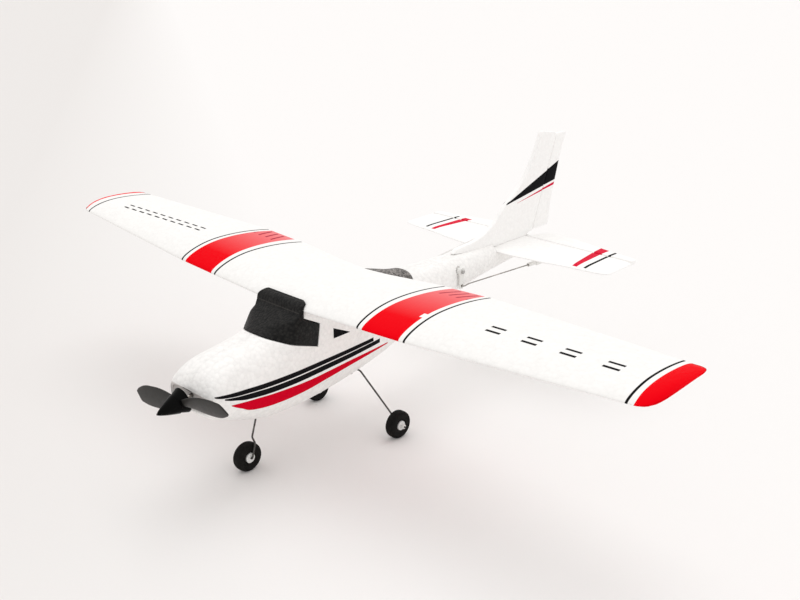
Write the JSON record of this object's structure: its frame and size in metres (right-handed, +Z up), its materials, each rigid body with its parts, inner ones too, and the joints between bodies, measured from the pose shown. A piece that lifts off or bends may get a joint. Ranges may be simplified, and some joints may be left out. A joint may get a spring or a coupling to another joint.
{
  "type": "radio controlled foam airplane",
  "caption": "High-wing moulded-foam radio controlled trainer airplane with tricycle wire gear, geared electric propeller, moving elevator and rudder, side-opening battery door.",
  "frame": {"origin": "on the ground, in the symmetry plane, half way between the spinner tip and the end of the rudder", "axes": "+Z up, nose towards -Y, port wing towards +X"},
  "size_m": [0.5, 0.3949, 0.1713],
  "materials": {
    "white_foam": "moulded bead foam, matt, with red and black printed stripes on the wing, side, fin and stabilizer",
    "black_foam": "black bead foam, matt and slightly grainy",
    "grey_foam": "dark grey bead foam, matt",
    "black_plastic": "injection moulded, satin to glossy",
    "white_plastic": "injection moulded nylon, satin",
    "steel_wire": "drawn spring steel wire, darkened",
    "brass": "turned, bright",
    "motor_can": "drawn can, plated",
    "tyre": "closed-cell black foam rubber, matt",
    "battery_wrap": "shrink sleeve",
    "circuit_board": "solder mask",
    "lead": "silicone insulated wire, red, brown or black"
  },
  "bodies": {
    "airframe": {"fuselage_left_shell": "white_foam", "fuselage_right_shell": "white_foam", "windshield_canopy": "black_foam", "rear_window": "grey_foam", "wing": "white_foam", "horizontal_stabilizer": "white_foam", "vertical_fin": "white_foam", "elevator_servo_case": "black_plastic", "rudder_servo_case": "black_plastic", "motor_can": "motor_can", "motor_endcap": "black_plastic", "gearbox_frame": "black_plastic", "front_shaft_bush": "brass", "rear_shaft_bush": "brass", "nose_gear_block": "white_plastic", "nose_gear_wire": "steel_wire", "nose_wheel_collar": "white_plastic", "main_gear_plate": "white_plastic", "gear_plate_screw_right": "steel_wire", "gear_plate_screw_left": "steel_wire", "main_gear_wire": "steel_wire", "left_wheel_collar": "white_plastic", "right_wheel_collar": "white_plastic", "battery_tray": "black_plastic", "battery_pack": "battery_wrap", "receiver_board": "circuit_board", "receiver_pad": "grey_foam", "battery_lead": "lead", "motor_lead": "lead", "elevator_servo_lead": "lead", "rudder_servo_lead": "lead", "antenna_wire": "lead"},
    "battery_door": {"battery_hatch": "white_foam"},
    "propeller": {"propeller": "black_plastic", "spinner": "black_plastic", "prop_shaft": "steel_wire", "spur_gear": "white_plastic"},
    "motor_rotor": {"motor_shaft": "steel_wire", "pinion": "brass"},
    "nose_wheel": {"nose_tyre": "tyre", "nose_hub": "white_plastic"},
    "left_wheel": {"left_tyre": "tyre", "left_hub": "white_plastic"},
    "right_wheel": {"right_tyre": "tyre", "right_hub": "white_plastic"},
    "elevator": {"elevator": "white_foam", "elevator_horn": "white_plastic"},
    "elevator_servo_arm": {"elevator_servo_arm": "white_plastic", "elevator_arm_screw": "steel_wire"},
    "elevator_pushrod": {"elevator_pushrod": "steel_wire", "elevator_clevis": "white_plastic"},
    "rudder": {"rudder": "white_foam", "rudder_horn": "white_plastic"},
    "rudder_servo_arm": {"rudder_servo_arm": "white_plastic", "rudder_arm_screw": "steel_wire"},
    "rudder_pushrod": {"rudder_pushrod": "steel_wire", "rudder_clevis": "white_plastic"}
  },
  "joints": [
    {"name": "battery_door_hinge", "type": "hinge", "parent": "airframe", "child": "battery_door", "pos_m": [-0.01335, -0.091, 0.0392], "axis": [0, 1, 0], "range_deg": [0, 100]},
    {"name": "propeller_spin", "type": "hinge", "parent": "airframe", "child": "propeller", "pos_m": [0, -0.1775, 0.0652], "axis": [0, -0.9877, -0.1564], "continuous": true},
    {"name": "motor_spin", "type": "hinge", "parent": "airframe", "child": "motor_rotor", "pos_m": [0, -0.17607, 0.05619], "axis": [0, -0.9877, -0.1564], "continuous": true},
    {"name": "nose_wheel_spin", "type": "hinge", "parent": "airframe", "child": "nose_wheel", "pos_m": [0, -0.1368, 0.00952], "axis": [1, 0, 0], "continuous": true},
    {"name": "left_wheel_spin", "type": "hinge", "parent": "airframe", "child": "left_wheel", "pos_m": [0.04, -0.0415, 0.00952], "axis": [1, 0, 0], "continuous": true},
    {"name": "right_wheel_spin", "type": "hinge", "parent": "airframe", "child": "right_wheel", "pos_m": [-0.04, -0.0415, 0.00952], "axis": [1, 0, 0], "continuous": true},
    {"name": "elevator_hinge", "type": "hinge", "parent": "airframe", "child": "elevator", "pos_m": [0, 0.149, 0.0883], "axis": [1, 0, 0], "range_deg": [-20, 20]},
    {"name": "elevator_servo_turn", "type": "hinge", "parent": "airframe", "child": "elevator_servo_arm", "pos_m": [0.014, 0.052, 0.0875], "axis": [1, 0, 0], "range_deg": [-32, 32]},
    {"name": "elevator_clevis_pin", "type": "hinge", "parent": "elevator", "child": "elevator_pushrod", "pos_m": [0.0155, 0.149, 0.0713], "axis": [1, 0, 0], "range_deg": [-20, 20]},
    {"name": "rudder_hinge", "type": "hinge", "parent": "airframe", "child": "rudder", "pos_m": [0, 0.157, 0.0933], "axis": [0, 0.342, 0.9397], "range_deg": [-25, 25]},
    {"name": "rudder_servo_turn", "type": "hinge", "parent": "airframe", "child": "rudder_servo_arm", "pos_m": [-0.0055, 0.04, 0.088], "axis": [0, 0.342, 0.9397], "range_deg": [-25, 25]},
    {"name": "rudder_clevis_pin", "type": "hinge", "parent": "rudder", "child": "rudder_pushrod", "pos_m": [-0.012, 0.15944, 0.1], "axis": [0, 0.342, 0.9397], "range_deg": [-25, 25]}
  ],
  "couplings": [
    {"joint": "motor_spin", "follows": "propeller_spin", "ratio": -4},
    {"joint": "elevator_servo_turn", "follows": "elevator_hinge", "ratio": 1.57},
    {"joint": "elevator_clevis_pin", "follows": "elevator_hinge", "ratio": -1},
    {"joint": "rudder_servo_turn", "follows": "rudder_hinge", "ratio": 1},
    {"joint": "rudder_clevis_pin", "follows": "rudder_hinge", "ratio": -1}
  ]
}
